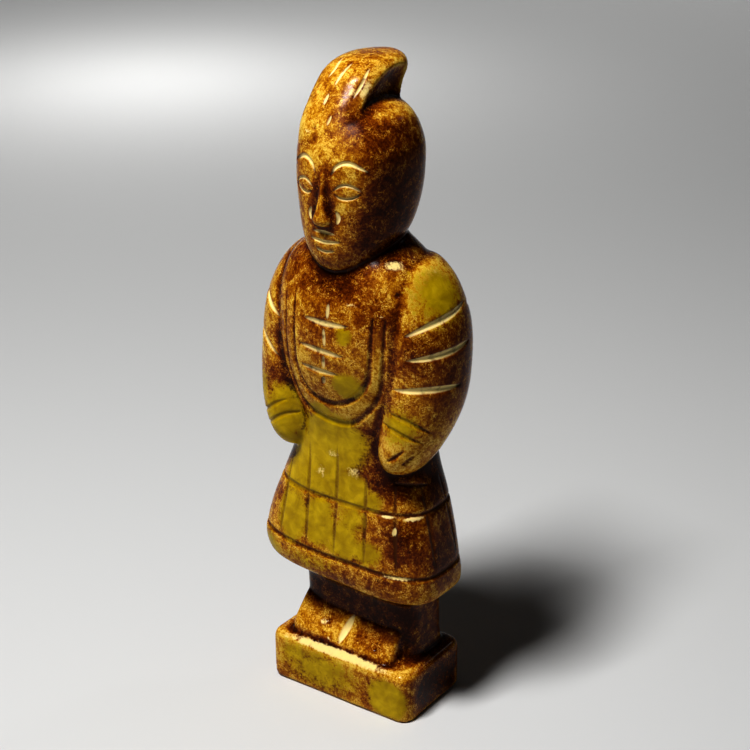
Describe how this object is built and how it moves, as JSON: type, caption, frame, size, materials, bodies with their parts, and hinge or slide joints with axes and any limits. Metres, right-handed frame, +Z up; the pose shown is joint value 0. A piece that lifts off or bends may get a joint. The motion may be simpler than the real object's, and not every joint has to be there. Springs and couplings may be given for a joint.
{
  "type": "stone figurine",
  "caption": "Small polished jade carving of a standing warrior with a side topknot, in a long coat with an engraved bib and lamellar skirt, on a plain rectangular block. Stands on a shelf.",
  "frame": {"origin": "middle of the block's underside, on the surface that the carving stands on", "axes": "+Z up through the figure, -Y the way the figure faces, +X towards the figure's left hand"},
  "size_m": [0.043, 0.0263, 0.1288],
  "materials": {
    "jade": "polished"
  },
  "bodies": {
    "root": {"warrior_carving": "jade"}
  },
  "joints": []
}
